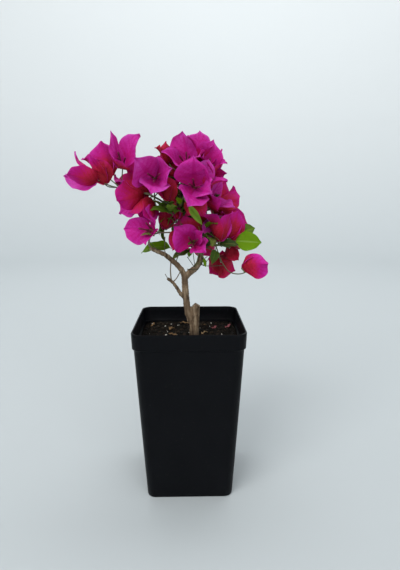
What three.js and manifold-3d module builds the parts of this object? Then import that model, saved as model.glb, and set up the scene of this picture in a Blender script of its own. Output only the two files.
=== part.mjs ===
// A small bougainvillea in flower, standing in its square black nursery pot.
// Millimetres, +Z up, +X to the right, -Y to the front. The origin is the middle of the
// pot's flat underside. The soil, the wood and the sprays of leaves and coloured bracts
// are separate solids that lie GAP apart where they meet.
import * as THREE from 'three';
import { mergeVertices } from 'three/addons/utils/BufferGeometryUtils.js';
import Module from 'manifold-3d';

const wasm = await Module();
wasm.setup();

// ---- driving dimensions -------------------------------------------------------------

const POT_HEIGHT = 162;
const RIM_WIDTH = 100;
const BASE_WIDTH = 80;
const WALL = 1.6;
const FLOOR = 2.4;
const BAND_HEIGHT = 14.5; // the wider collar below the rim
const BAND_STEP = 1.3; // how far the collar stands out from the body
const BAND_DRAFT = 0.5; // how much narrower the collar is at its lower edge, a side
const CORNER_SHARE = 0.19; // corner radius as a share of the half width
const CORNER_STEPS = 4;
const DRAIN_RADIUS = 5;
const DRAIN_AT = 25; // from the middle, along X and Y

const SOIL_LEVEL = POT_HEIGHT - 16;
const SOIL_BUMP = 1.1;
const SOIL_CELLS = 9;

const GAP = 0.32; // between pieces that touch
const JOIN = 0.5; // by which solids that are joined or cut run into each other
const LIMB_SIDES = 7;
const LIMB_STEP = 7; // length of a straight stretch of a bent limb
const BRACT_LENGTH = 30;
const STEM_FOOT = new THREE.Vector3(4.4, 0, SOIL_LEVEL + GAP);

const rimHalf = RIM_WIDTH / 2;
const baseHalf = BASE_WIDTH / 2;
const bandFoot = POT_HEIGHT - BAND_HEIGHT;
const bodyTopHalf = rimHalf - BAND_DRAFT - BAND_STEP;

// ---- materials ----------------------------------------------------------------------

const material = (color, roughness) => new THREE.MeshStandardMaterial({ color, roughness, metalness: 0 });
const plastic = material(0x16181b, 0.45);
const peat = material(0x2b221a, 0.95);
const bark = material(0x7a6a55, 0.85);
const green = material(0x4f7a22, 0.6);
const magenta = material(0xb01c84, 0.55);

// ---- solids -------------------------------------------------------------------------

function solidFrom(geometry) {
  const bare = geometry.index ? geometry.toNonIndexed() : geometry.clone();
  for (const name of Object.keys(bare.attributes)) {
    if (name !== 'position') bare.deleteAttribute(name);
  }
  const merged = mergeVertices(bare, 1e-3);
  return new wasm.Manifold(new wasm.Mesh({
    numProp: 3,
    vertProperties: merged.attributes.position.array,
    triVerts: new Uint32Array(merged.index.array),
  }));
}

function geometryFrom(solid) {
  const mesh = solid.getMesh();
  return new THREE.BufferGeometry()
    .setAttribute('position', new THREE.BufferAttribute(mesh.vertProperties, 3))
    .setIndex(new THREE.BufferAttribute(mesh.triVerts, 1));
}

// A cut can leave crumbs behind, so a piece keeps only its largest body.
function largestBody(solid) {
  return solid.decompose().reduce((a, b) => (a.volume() > b.volume() ? a : b));
}

const plant = new THREE.Group();

function addPiece(name, solid, finish) {
  const geometry = geometryFrom(solid);
  geometry.computeVertexNormals();
  const mesh = new THREE.Mesh(geometry, finish);
  mesh.name = name;
  plant.add(mesh);
}

function moveVertices(geometry, move) {
  const place = geometry.attributes.position;
  const at = new THREE.Vector3();
  for (let i = 0; i < place.count; i += 1) {
    move(at.fromBufferAttribute(place, i));
    place.setXYZ(i, at.x, at.y, at.z);
  }
  return geometry;
}

// ---- pot and soil -------------------------------------------------------------------

function roundedSquare(half) {
  const radius = half * CORNER_SHARE;
  const flat = half - radius;
  const shape = new THREE.Shape();
  [[1, 1], [-1, 1], [-1, -1], [1, -1]].forEach(([x, y], turn) => {
    const start = (turn * Math.PI) / 2;
    shape.absarc(x * flat, y * flat, radius, start, start + Math.PI / 2, false);
  });
  return shape;
}

// A block with a rounded square section that tapers evenly from one half width to another.
function taperedBlock(lowZ, lowHalf, highZ, highHalf) {
  const block = new THREE.ExtrudeGeometry(roundedSquare(1), {
    depth: 1, steps: 1, bevelEnabled: false, curveSegments: CORNER_STEPS,
  });
  return solidFrom(moveVertices(block, (at) => {
    const half = THREE.MathUtils.lerp(lowHalf, highHalf, at.z);
    at.set(at.x * half, at.y * half, THREE.MathUtils.lerp(lowZ, highZ, at.z));
  }));
}

function bodyHalfAt(z) {
  return THREE.MathUtils.lerp(baseHalf, bodyTopHalf, z / bandFoot);
}

// The space inside the pot below the collar, kept `clear` of the walls and floor.
function insideOfBody(clear) {
  const low = FLOOR + clear;
  return taperedBlock(low, bodyHalfAt(low) - WALL - clear, bandFoot, bodyTopHalf - WALL - clear);
}

function insideOfBand() {
  return taperedBlock(bandFoot - JOIN, rimHalf - BAND_DRAFT - WALL, POT_HEIGHT + JOIN, rimHalf - WALL);
}

function drain(x, y) {
  const hole = new THREE.CylinderGeometry(DRAIN_RADIUS, DRAIN_RADIUS, 3 * FLOOR, 20);
  hole.rotateX(Math.PI / 2);
  hole.translate(x * DRAIN_AT, y * DRAIN_AT, FLOOR / 2);
  return solidFrom(hole);
}

function pot() {
  let shell = taperedBlock(0, baseHalf, bandFoot + JOIN, bodyHalfAt(bandFoot + JOIN))
    .add(taperedBlock(bandFoot, rimHalf - BAND_DRAFT, POT_HEIGHT, rimHalf))
    .subtract(insideOfBody(0))
    .subtract(insideOfBand());
  for (const [x, y] of [[1, 1], [-1, 1], [-1, -1], [1, -1]]) {
    shell = shell.subtract(drain(x, y));
  }
  return shell;
}

// The soil's surface is uneven, and flat only round the foot of the stem.
function soil() {
  const width = 2 * bodyTopHalf;
  const block = new THREE.BoxGeometry(width, width, SOIL_LEVEL, SOIL_CELLS, SOIL_CELLS, 1);
  const surface = SOIL_LEVEL / 2;
  moveVertices(block, (at) => {
    if (at.z < surface - 1) return;
    const away = Math.hypot(at.x - STEM_FOOT.x, at.y - STEM_FOOT.y);
    const rolling = Math.sin(at.x * 0.19 + 1) * Math.cos(at.y * 0.23);
    const ripple = -0.35 * Math.sin(at.x * at.y * 0.011);
    at.z += SOIL_BUMP * (rolling + ripple) * THREE.MathUtils.smoothstep(away, 9, 20);
  });
  block.translate(0, 0, surface);
  return solidFrom(block).intersect(insideOfBody(GAP));
}

// ---- wood ---------------------------------------------------------------------------

// A direction from its azimuth, from +X towards +Y, and its elevation, in degrees.
function heading(azimuth, elevation) {
  const turn = THREE.MathUtils.degToRad(azimuth);
  const rise = THREE.MathUtils.degToRad(elevation);
  return new THREE.Vector3(Math.cos(rise) * Math.cos(turn), Math.cos(rise) * Math.sin(turn), Math.sin(rise));
}

// A limb's curve leaves `foot` and grows by legs of one length, each with its own heading.
function grown(foot, leg, headings) {
  const points = [foot];
  for (const [azimuth, elevation] of headings) {
    points.push(points.at(-1).clone().addScaledVector(heading(azimuth, elevation), leg));
  }
  return new THREE.CatmullRomCurve3(points);
}

// A limb is a closed cylinder bent along its curve. Its radius runs from the first to the
// second of `radii`, with a swelling at the foot where `flare` says.
function limb({ curve, radii, flare = 0 }, grow) {
  const steps = Math.round(curve.getLength() / LIMB_STEP);
  const frames = curve.computeFrenetFrames(steps, false);
  const tube = new THREE.CylinderGeometry(1, 1, 1, LIMB_SIDES, steps);
  return solidFrom(moveVertices(tube, (at) => {
    const share = at.y + 0.5;
    const ring = Math.round(share * steps);
    const radius = THREE.MathUtils.lerp(...radii, share) + flare * (1 - share) ** 8 + grow;
    const along = share === 0 ? -grow : (share === 1 ? grow : 0);
    const { x, z } = at;
    at.copy(curve.getPointAt(share))
      .addScaledVector(frames.tangents[ring], along)
      .addScaledVector(frames.normals[ring], -x * radius)
      .addScaledVector(frames.binormals[ring], z * radius);
  }));
}

// Every limb grows from a share of its parent's length. The stump, the old stem that was
// cut off above the leader, grows from the soil.
const limbs = {};

function growLimb(name, [parent, share], leg, headings, shape) {
  const foot = parent ? limbs[parent].curve.getPointAt(share) : STEM_FOOT;
  limbs[name] = { curve: grown(foot, leg, headings), ...shape };
}

growLimb('stump', [], 12, [[0, 88], [10, 86], [0, 86]], { radii: [4.3, 4.1], flare: 0.5 });
growLimb('leader', ['stump', 0.25], 10, [
  [180, 62], [185, 78], [180, 84], [180, 86], [180, 88],
], { radii: [3.2, 2.8] });
growLimb('bough_right', ['leader', 0.97], 7, [
  [10, 45], [10, 35], [15, 55], [45, 80], [180, 80], [170, 65],
], { radii: [2.9, 2.2] });
growLimb('bough_upper', ['bough_right', 1], 9, [
  [185, 50], [195, 45], [200, 60], [180, 85], [30, 75], [20, 75],
], { radii: [2.2, 1.4] });
growLimb('bough_left', ['leader', 0.97], 7.5, [
  [190, 70], [190, 50], [205, 40], [205, 40], [200, 25], [195, 25],
], { radii: [2.6, 1.5] });
growLimb('bough_side', ['leader', 0.55], 7, [[190, 45], [200, 60], [205, 55], [200, 40]], {
  radii: [1.6, 1.2],
});
growLimb('shoot_left', ['bough_left', 0.97], 8, [[205, 65], [20, 50], [15, 5], [25, 0], [35, 10]], {
  radii: [1, 0.8],
});
growLimb('stalk_far_left', ['bough_upper', 0.6], 11, [
  [190, 30], [185, 35], [180, 20], [180, 12], [185, 12], [190, 12], [190, 30],
], { radii: [1.1, 0.8] });
growLimb('twig_far_right', ['bough_right', 0.8], 9, [
  [-30, 10], [-20, -30], [-10, -60], [-10, -60], [-10, -35], [-10, 10], [-10, 30],
], { radii: [1.1, 0.8] });

// The stump's top is two slopes that meet in a ridge.
const RIDGE = limbs.stump.curve.getPointAt(0.85);
const SLOPES = [new THREE.Vector3(-0.55, 0, -1), new THREE.Vector3(0.85, 0.1, -1)];

function trunk(grow) {
  return SLOPES.reduce((solid, slope) => {
    const inward = slope.clone().normalize();
    return solid.trimByPlane(inward.toArray(), inward.dot(RIDGE) - grow);
  }, limb(limbs.stump, grow)).add(limb(limbs.leader, grow));
}

// ---- foliage ------------------------------------------------------------------------

// A bloom is three bracts that spread from one foot, so its lump has three lobes round the
// way it faces and a small heel behind. `faces` is azimuth from +X and elevation in degrees,
// `spin` turns the first lobe from straight up, and `size` is the bracts' length in
// BRACT_LENGTH.
const LOBE_ANGLE = THREE.MathUtils.degToRad(79); // between each lobe and the way it faces
const BODY_REACH = 0.4; // in bract lengths, from the lump's centre
const LOBE_REACH = 0.74;
const HEEL_REACH = 0.6;
const MOUTH_REACH = 0.22;
const LUMP_DETAIL = 1;

// A direction at `angle` from +Z, turned round it by `turn`.
function polar(angle, turn) {
  const out = Math.sin(angle);
  return new THREE.Vector3(out * Math.cos(turn), out * Math.sin(turn), Math.cos(angle));
}

const bulges = [
  { way: polar(Math.PI, 0), far: HEEL_REACH, width: 0.12 },
  { way: polar(0, 0), far: MOUTH_REACH, width: 0.3 },
];
for (const third of [0, 1, 2]) {
  bulges.push({ way: polar(LOBE_ANGLE, (third * 2 * Math.PI) / 3), far: LOBE_REACH, width: 0.17 });
}

// A ball whose corners include the lobes: an icosahedron turned to stand on a face.
function lumpBall() {
  const ball = new THREE.IcosahedronGeometry(1, LUMP_DETAIL);
  const axis = new THREE.Vector3(1, 1, 1).normalize();
  const corner = new THREE.Vector3(-1, (1 + Math.sqrt(5)) / 2, 0);
  const side = corner.projectOnPlane(axis).normalize();
  const standing = new THREE.Matrix4().makeBasis(side, axis.clone().cross(side), axis);
  return ball.applyMatrix4(standing.invert());
}

function bloom({ centre, faces: [azimuth, elevation], size = 1, spin = 90 }, grow) {
  const length = size * BRACT_LENGTH;
  const body = moveVertices(lumpBall(), (at) => {
    at.normalize();
    const swell = ({ way, far, width }) => (far - BODY_REACH) * Math.exp((at.dot(way) - 1) / width);
    const reach = bulges.reduce((sum, bulge) => sum + swell(bulge), BODY_REACH);
    at.multiplyScalar(reach * length + grow);
  });
  body.rotateZ(THREE.MathUtils.degToRad(spin + 180));
  body.rotateY(THREE.MathUtils.degToRad(90 - elevation));
  body.rotateZ(THREE.MathUtils.degToRad(azimuth));
  body.translate(...centre.toArray());
  return solidFrom(body);
}

// A clump of green leaves is an ellipsoid with a dented surface.
function leaves({ centre, radii, turn = 0 }, grow) {
  const clump = moveVertices(new THREE.IcosahedronGeometry(1, LUMP_DETAIL), (at) => {
    const dent = 0.1 * Math.sin(5 * at.x + 2) * Math.cos(4 * at.z) + 0.06 * Math.sin(7 * at.y + at.x);
    at.set(...radii.map((radius, k) => at.getComponent(k) * (radius * (1 + dent) + grow)));
  });
  clump.rotateY(THREE.MathUtils.degToRad(turn));
  clump.translate(...centre.toArray());
  return solidFrom(clump);
}

// A lump sits at a reach in mm along a heading from a share of a limb's length.
function lump([parent, share], [azimuth, elevation, reach], shape) {
  const centre = limbs[parent].curve.getPointAt(share).addScaledVector(heading(azimuth, elevation), reach);
  return { centre, ...shape };
}

const sprays = {
  core_leaves: [
    lump(['bough_upper', 0.5], [25, -10, 16], { radii: [14, 14, 21] }),
    lump(['bough_upper', 1], [20, 25, 6], { radii: [9, 9, 18] }),
  ],
  inner_left_spray: [
    lump(['bough_upper', 0.55], [-135, -10, 15], { faces: [-90, -25], size: 0.8 }),
    lump(['bough_upper', 0.6], [190, 35, 10], { radii: [14, 9, 7] }),
  ],
  far_left_spray: [
    lump(['stalk_far_left', 1], [-175, 20, 16], { faces: [180, 15], size: 1, spin: 0 }),
    lump(['stalk_far_left', 0.9], [170, 75, 20], { faces: [180, 70], size: 1.1, spin: 30 }),
    lump(['stalk_far_left', 0.7], [-100, 85, 35], { faces: [-80, 50], size: 1.05, spin: 0 }),
  ],
  left_spray: [
    lump(['stalk_far_left', 0.35], [-165, 0, 20], { faces: [-165, -10], size: 1.25, spin: 0 }),
    lump(['stalk_far_left', 0.35], [135, 25, 18], { faces: [150, 15], size: 0.9 }),
  ],
  upper_left_spray: [
    lump(['stalk_far_left', 0.25], [-105, 50, 30], { faces: [-105, 40], size: 1.15, spin: 30 }),
    lump(['bough_upper', 0.75], [-120, 40, 23], { faces: [-160, 65], size: 0.9 }),
  ],
  top_spray: [
    lump(['bough_upper', 1], [-45, 85, 34], { faces: [-100, 65], size: 1.1, spin: 0 }),
    lump(['bough_upper', 1], [155, 65, 30], { faces: [150, 50], size: 0.65 }),
    lump(['bough_upper', 1], [30, 60, 36], { faces: [70, 70], size: 1 }),
  ],
  top_right_spray: [
    lump(['bough_upper', 1], [-5, 45, 35], { faces: [-50, 35], size: 1.25, spin: 60 }),
    lump(['bough_upper', 1], [20, 25, 38], { faces: [10, 15], size: 0.95, spin: 0 }),
  ],
  centre_spray: [
    lump(['bough_upper', 0.9], [-75, 20, 30], { faces: [-75, 20], size: 1.3, spin: 20 }),
    lump(['bough_upper', 0.9], [-35, 30, 28], { faces: [-30, 25], size: 0.9 }),
  ],
  right_spray: [
    lump(['bough_upper', 0.4], [5, 35, 42], { faces: [-10, 30], size: 1.05, spin: 60 }),
    lump(['bough_upper', 0.4], [35, 40, 42], { faces: [50, 10], size: 1 }),
  ],
  right_shoulder_spray: [
    lump(['bough_right', 1], [-55, 45, 30], { faces: [-60, 30], size: 1.25, spin: 30 }),
    lump(['bough_right', 1], [-10, 25, 40], { faces: [-20, 55], size: 1, spin: 30 }),
  ],
  low_left_spray: [lump(['shoot_left', 0.25], [-140, 70, 12], { faces: [-140, 5], size: 1, spin: 90 })],
  front_spray: [
    lump(['bough_right', 0.75], [-105, 25, 35], { faces: [-80, 0], size: 1.2, spin: 30 }),
    lump(['bough_right', 0.75], [-135, 25, 29], { faces: [-165, -20], size: 0.85 }),
  ],
  low_right_spray: [
    lump(['bough_right', 0.8], [-25, -25, 27], { faces: [-45, -45], size: 1, spin: 90 }),
    lump(['bough_right', 0.8], [0, 0, 32], { faces: [-15, -25], size: 0.8 }),
    lump(['bough_right', 0.8], [-45, 10, 18], { radii: [13, 9, 12] }),
  ],
  far_right_spray: [lump(['twig_far_right', 1], [-20, 40, 8], { faces: [-10, 25], size: 0.9, spin: 90 })],
  right_leaves: [
    lump(['bough_right', 0.95], [-5, 5, 45], { radii: [15, 8, 10], turn: 5 }),
    lump(['bough_right', 0.95], [10, 15, 42], { radii: [11, 7, 7], turn: -20 }),
  ],
  low_left_leaves: [lump(['bough_left', 0.75], [-45, 40, 4], { radii: [15, 7, 5.5], turn: -25 })],
  back_top_spray: [
    lump(['bough_upper', 1], [70, 30, 33], { faces: [95, 45], size: 1.15 }),
    lump(['bough_upper', 1], [115, 30, 25], { faces: [140, 25], size: 1 }),
    lump(['bough_upper', 1], [150, 15, 33], { faces: [155, 25], size: 0.9 }),
  ],
  back_right_spray: [
    lump(['bough_upper', 0.3], [35, 20, 45], { faces: [45, 10], size: 1.1 }),
    lump(['bough_upper', 0.3], [50, 40, 48], { faces: [70, 20], size: 1 }),
  ],
  back_centre_spray: [
    lump(['bough_upper', 0.5], [70, 25, 36], { faces: [110, 0], size: 1.1 }),
    lump(['bough_upper', 0.5], [70, 0, 27], { radii: [14, 9, 12] }),
  ],
  back_low_spray: [
    lump(['bough_right', 0.95], [80, 20, 25], { faces: [85, -20], size: 1.05 }),
    lump(['bough_right', 0.95], [30, 20, 20], { radii: [12, 10, 9] }),
  ],
};

const GREEN_SPRAYS = ['core_leaves', 'inner_left_spray', 'right_leaves', 'low_left_leaves'];

const spraySolid = (lumps, grow) => lumps
  .map((shape) => (shape.radii ? leaves(shape, grow) : bloom(shape, grow)))
  .reduce((a, b) => a.add(b));

// ---- assembly -----------------------------------------------------------------------

addPiece('pot', pot(), plastic);
addPiece('soil', soil(), peat);

// Each piece is cut back by those before it, grown by GAP, so that none overlap.
const placed = [];

function place(name, make, finish) {
  const solid = placed.reduce((left, grown) => left.subtract(grown), make(0));
  addPiece(name, largestBody(solid), finish);
  placed.push(make(GAP));
}

place('trunk', trunk, bark);
const { stump, leader, ...boughs } = limbs;
for (const [name, bough] of Object.entries(boughs)) {
  place(name, (grow) => limb(bough, grow), bark);
}
for (const [name, lumps] of Object.entries(sprays)) {
  place(name, (grow) => spraySolid(lumps, grow), GREEN_SPRAYS.includes(name) ? green : magenta);
}

export default plant;
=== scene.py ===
"""The looks of a small bougainvillea in flower in its square black nursery pot.

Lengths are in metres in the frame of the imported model: +Z up, -Y to the front.
Twigs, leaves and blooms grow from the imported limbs. The bracts of each spray are one piece.
"""
import math
import zlib
from functools import lru_cache

import bmesh
import bpy
import numpy as np
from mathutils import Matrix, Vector, noise


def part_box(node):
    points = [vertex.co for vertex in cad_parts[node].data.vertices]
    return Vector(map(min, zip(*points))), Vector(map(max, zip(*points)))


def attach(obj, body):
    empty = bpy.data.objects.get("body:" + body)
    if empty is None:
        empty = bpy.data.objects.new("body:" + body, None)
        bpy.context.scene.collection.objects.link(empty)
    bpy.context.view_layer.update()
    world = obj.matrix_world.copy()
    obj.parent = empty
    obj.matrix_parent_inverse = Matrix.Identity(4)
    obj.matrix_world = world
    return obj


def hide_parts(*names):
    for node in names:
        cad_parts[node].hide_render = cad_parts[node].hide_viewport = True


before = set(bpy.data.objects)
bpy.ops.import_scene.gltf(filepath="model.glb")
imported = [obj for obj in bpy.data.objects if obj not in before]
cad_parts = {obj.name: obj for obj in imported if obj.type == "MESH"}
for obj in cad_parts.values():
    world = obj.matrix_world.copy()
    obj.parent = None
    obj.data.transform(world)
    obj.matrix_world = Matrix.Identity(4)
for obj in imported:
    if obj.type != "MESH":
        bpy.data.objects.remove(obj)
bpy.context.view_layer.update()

MM = 0.001
QUARTER_TURN = math.pi / 2
RIGHT, BACK, UP = np.eye(3)
THIN_MARGIN = 0.45  # thickness of a leaf, bract or scrap at its margin, as a share


# ---- helpers -----------------------------

def seeded(name):
    """A random source of its own for each named thing, so that one edit moves only that thing."""
    return np.random.default_rng(zlib.crc32(name.encode()))


def unit(vector):
    return vector / np.linalg.norm(vector)


def direction(azimuth, elevation):
    """A unit vector from an azimuth turned from +X and an elevation, both in degrees."""
    turn, lift = math.radians(azimuth), math.radians(elevation)
    flat = math.cos(lift)
    return np.array((flat * math.cos(turn), flat * math.sin(turn), math.sin(lift)))


@lru_cache(maxsize=None)
def box(node):
    low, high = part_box(node)
    return np.array(low), np.array(high)


def smooth_step(low, high, value):
    share = np.clip((value - low) / (high - low), 0, 1)
    return share * share * (3 - 2 * share)


def turned(first, second, angle):
    """Two crossing vectors, both turned by an angle in their own plane."""
    cosine, sine = math.cos(angle), math.sin(angle)
    return first * cosine + second * sine, second * cosine - first * sine


def flat_way(angle):
    return np.array((math.cos(angle), math.sin(angle)))


def running_sum(steps):
    return np.concatenate(([0], np.cumsum(steps)))


def grid_lines(rows, columns):
    """Where a grid's lines lie: from 0 to 1 along it, and from -1 to 1 across it."""
    return np.linspace(0, 1, rows + 1), np.linspace(-1, 1, columns + 1)


def new_object(name, data):
    made = bpy.data.objects.new(name, data)
    bpy.context.scene.collection.objects.link(made)
    return made


def shade(mesh, sharp_from):
    """Shades a mesh smooth, but for edges that bend by more than an angle in degrees."""
    mesh.shade_smooth()
    mesh.set_sharp_from_angle(angle=math.radians(sharp_from))


def put(piece, slot, *nodes):
    """Rides a finished piece on the plant's one body and hides the nodes it stands for."""
    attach(piece, "root")
    if nodes:
        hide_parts(*nodes)


class Patchwork:
    """Gathers many small closed meshes and joins them into one piece."""

    def __init__(self, finishes):
        self.finishes = finishes
        self.points = []
        self.faces = []
        self.marks = []
        self.count = 0

    def add(self, points, faces, marks):
        """faces is a list of equal-sided face arrays. marks is a finish index, or one for each face."""
        self.points.append(points)
        for group in faces:
            self.faces.extend((group + self.count).tolist())
        self.marks.append(np.broadcast_to(marks, sum(map(len, faces))))
        self.count += len(points)

    def add_shell(self, grid, thickness, marks):
        """Adds a closed shell over a grid of points."""
        rows, columns, _ = grid.shape
        self.add(shell_points(grid, thickness), shell_faces(rows - 1, columns - 1), marks)

    def make(self, name, slot, *nodes, sharp_from=55):
        mesh = bpy.data.meshes.new(name)
        mesh.from_pydata(np.concatenate(self.points).tolist(), [], self.faces)
        used, indices = np.unique(np.concatenate(self.marks), return_inverse=True)
        for mark in used:
            mesh.materials.append(self.finishes[mark])
        mesh.polygons.foreach_set("material_index", indices.astype(np.int32))
        shade(mesh, sharp_from)
        put(new_object(name, mesh), slot, *nodes)


@lru_cache(maxsize=None)
def shell_faces(rows, columns):
    """The faces of a closed shell over a grid: its front, its back and the rim between them."""
    index = np.arange((rows + 1) * (columns + 1)).reshape(rows + 1, columns + 1)
    corners = (index[:-1, :-1], index[1:, :-1], index[1:, 1:], index[:-1, 1:])
    front = np.stack([corner.ravel() for corner in corners], axis=1)
    loop = np.concatenate((index[0, :-1], index[:-1, -1], index[-1, :0:-1], index[:0:-1, 0]))
    following = np.roll(loop, -1)
    back_side = index.size
    rim = np.stack((loop, following, following + back_side, loop + back_side), axis=1)
    return front, front[:, ::-1] + back_side, rim


def shell_points(grid, thickness):
    """Points of a shell on both sides of a grid, thinner at its margins."""
    along = np.gradient(grid, axis=0)
    across = np.gradient(grid, axis=1)
    normal = np.cross(along, across)
    normal /= np.maximum(np.linalg.norm(normal, axis=2, keepdims=True), 1e-12)
    side = np.abs(np.linspace(-1, 1, grid.shape[1]))
    half = thickness / 2 * (1 - (1 - THIN_MARGIN) * side ** 4)
    offset = normal * half[None, :, None]
    return np.concatenate(((grid + offset).reshape(-1, 3), (grid - offset).reshape(-1, 3)))


def smooth_path(points, steps):
    """A Catmull-Rom curve through the points, with `steps` stretches between each two."""
    points = np.asarray(points, float)
    padded = np.vstack((2 * points[0] - points[1], points, 2 * points[-1] - points[-2]))
    t = np.linspace(0, 1, steps, endpoint=False)[:, None]
    spans = []
    for a, b, c, d in zip(padded, padded[1:], padded[2:], padded[3:]):
        spans.append(b + 0.5 * t * (c - a + t * (2 * a - 5 * b + 4 * c - d + t * (3 * (b - c) + d - a))))
    return np.vstack((*spans, points[-1:]))


def arc(start, start_way, end, end_way, steps, pull=1.0):
    """A curve that leaves one point along a way and reaches another along a way."""
    reach = pull * np.linalg.norm(end - start)
    t = np.linspace(0, 1, steps + 1)[:, None]
    stay, go = 2 * t ** 3 - 3 * t ** 2 + 1, 3 * t ** 2 - 2 * t ** 3
    leave, arrive = t ** 3 - 2 * t ** 2 + t, t ** 3 - t ** 2
    return stay * start + go * end + reach * (leave * start_way + arrive * end_way)


def frames_along(path):
    """Tangents and two cross directions that don't spin along a path."""
    tangents = np.gradient(path, axis=0)
    tangents /= np.linalg.norm(tangents, axis=1, keepdims=True)
    first = unit(np.cross(tangents[0], UP if abs(tangents[0][2]) < 0.9 else RIGHT))
    sides = []
    for tangent in tangents:
        first = unit(first - tangent * (first @ tangent))
        sides.append(first)
    sides = np.array(sides)
    return tangents, sides, np.cross(tangents, sides)


def ring_faces(rings, sides):
    """The faces of a closed skin over rings of points: its sides, its start and its end."""
    index = np.arange(rings * sides).reshape(rings, sides)
    beside = np.roll(index, -1, axis=1)
    quads = np.stack([c.ravel() for c in (index[:-1], beside[:-1], beside[1:], index[1:])], axis=1)
    return [quads, index[:1, ::-1], index[-1:]]


def tube(path, radii, sides, waves=0, depth=0.0):
    """A closed tube along a path. With waves, its section has that many soft ribs."""
    _, first, second = frames_along(path)
    turn = np.linspace(0, 2 * np.pi, sides, endpoint=False)
    radii = np.broadcast_to(radii, len(path))
    swell = 1 + depth * np.cos(waves * turn)
    ring = first[:, None] * np.cos(turn)[None, :, None] + second[:, None] * np.sin(turn)[None, :, None]
    points = path[:, None] + ring * radii[:, None, None] * swell[None, :, None]
    return points.reshape(-1, 3), ring_faces(len(path), sides)


# ---- materials ---------------------------

def new_material(name, colour, roughness, **numbers):
    """A Principled material with plain numbers, and its node tree for a pattern to be added."""
    material = bpy.data.materials.new(name)
    material.use_nodes = True
    shader = material.node_tree.nodes["Principled BSDF"]
    shader.inputs["Base Color"].default_value = (*colour, 1)
    shader.inputs["Roughness"].default_value = roughness
    for key, value in numbers.items():
        shader.inputs[key.replace("_", " ")].default_value = value
    return material, material.node_tree, shader


def add_noise(tree, scale, detail, stretch=(1, 1, 1)):
    """Noise in object coordinates. Returns the socket that holds its value."""
    where = tree.nodes.new("ShaderNodeTexCoord")
    mapping = tree.nodes.new("ShaderNodeMapping")
    mapping.inputs["Scale"].default_value = stretch
    texture = tree.nodes.new("ShaderNodeTexNoise")
    texture.inputs["Scale"].default_value = scale
    texture.inputs["Detail"].default_value = detail
    tree.links.new(where.outputs["Object"], mapping.inputs["Vector"])
    tree.links.new(mapping.outputs["Vector"], texture.inputs["Vector"])
    return texture.outputs["Fac"]


def add_bump(tree, shader, height, distance, strength):
    bump = tree.nodes.new("ShaderNodeBump")
    bump.inputs["Distance"].default_value = distance
    bump.inputs["Strength"].default_value = strength
    tree.links.new(height, bump.inputs["Height"])
    tree.links.new(bump.outputs["Normal"], shader.inputs["Normal"])


def add_ramp(tree, value, stops):
    """A colour ramp over a value. stops are (position, colour)."""
    ramp = tree.nodes.new("ShaderNodeValToRGB")
    elements = ramp.color_ramp.elements
    while len(elements) < len(stops):
        elements.new(0.5)
    for element, (position, colour) in zip(elements, stops):
        element.position = position
        element.color = (*colour, 1)
    tree.links.new(value, ramp.inputs["Fac"])
    return ramp.outputs["Color"]


def add_mix(tree, share, first, second):
    """Mixes two colours, each a socket or plain values, by a share that is a socket or a number."""
    mix = tree.nodes.new("ShaderNodeMix")
    mix.data_type = "RGBA"
    for value, socket in ((share, mix.inputs[0]), (first, mix.inputs[6]), (second, mix.inputs[7])):
        if isinstance(value, bpy.types.NodeSocket):
            tree.links.new(value, socket)
        elif isinstance(value, tuple):
            socket.default_value = (*value, 1)
        else:
            socket.default_value = value
    return mix.outputs[2]


def add_range(tree, value, low, high, to_low=0.0, to_high=1.0):
    """Maps a value from one range to another, clamped."""
    node = tree.nodes.new("ShaderNodeMapRange")
    for number, socket in zip((low, high, to_low, to_high), node.inputs[1:5]):
        socket.default_value = number
    tree.links.new(value, node.inputs[0])
    return node.outputs[0]


def add_height(tree, node_type, output):
    """A point's height, from a node that gives its place. Returns the socket that holds it."""
    place = tree.nodes.new(node_type)
    split = tree.nodes.new("ShaderNodeSeparateXYZ")
    tree.links.new(place.outputs[output], split.inputs[0])
    return split.outputs["Z"]


def grained_materials(name, colours, roughness, grain, relief, **numbers):
    """A material for each colour, with a fine grain. grain is (scale, detail) of the noise, and
    relief is (distance, strength) of the bump."""
    made = []
    for index, colour in enumerate(colours):
        material, tree, shader = new_material(name.format(index), colour, roughness, **numbers)
        add_bump(tree, shader, add_noise(tree, *grain), *relief)
        made.append(material)
    return made


def mix_stops(stops, share):
    """The colour at a share of the way along (position, colour) stops."""
    positions = [position for position, _ in stops]
    return tuple(float(np.interp(share, positions, [c[k] for _, c in stops])) for k in range(3))


# From the crimson heel of a bract's outside to the light magenta of its sunlit inside. The crimson stops are
# partly the outside's own colour and partly painted shade, and the palest stops hold a painted highlight.
BRACT_STOPS = [
    (0.00, (0.220, 0.006, 0.016)),
    (0.20, (0.340, 0.010, 0.030)),
    (0.35, (0.430, 0.012, 0.062)),
    (0.50, (0.430, 0.008, 0.135)),
    (0.65, (0.450, 0.010, 0.220)),
    (0.80, (0.510, 0.028, 0.310)),
    (1.00, (0.560, 0.085, 0.450)),
]
BRACT_STEPS = 24


def bract_materials():
    colours = [mix_stops(BRACT_STOPS, (step + 0.5) / BRACT_STEPS) for step in range(BRACT_STEPS)]
    return grained_materials(
        "bract_{:02d}", colours, 0.6, (900, 4), (0.0004, 0.35), Specular_IOR_Level=0.08,
        Subsurface_Weight=0.4, Subsurface_Scale=0.0012, Subsurface_Radius=(1.0, 0.25, 0.6),
    )


LEAF_COLOURS = [
    (0.115, 0.230, 0.002),
    (0.085, 0.150, 0.014),
    (0.050, 0.092, 0.014),
    (0.034, 0.060, 0.014),
    (0.125, 0.140, 0.035),
    (0.170, 0.290, 0.035),
]
LIME, BRIGHT, MID, DARK, OLIVE, PALE = range(len(LEAF_COLOURS))


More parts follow.
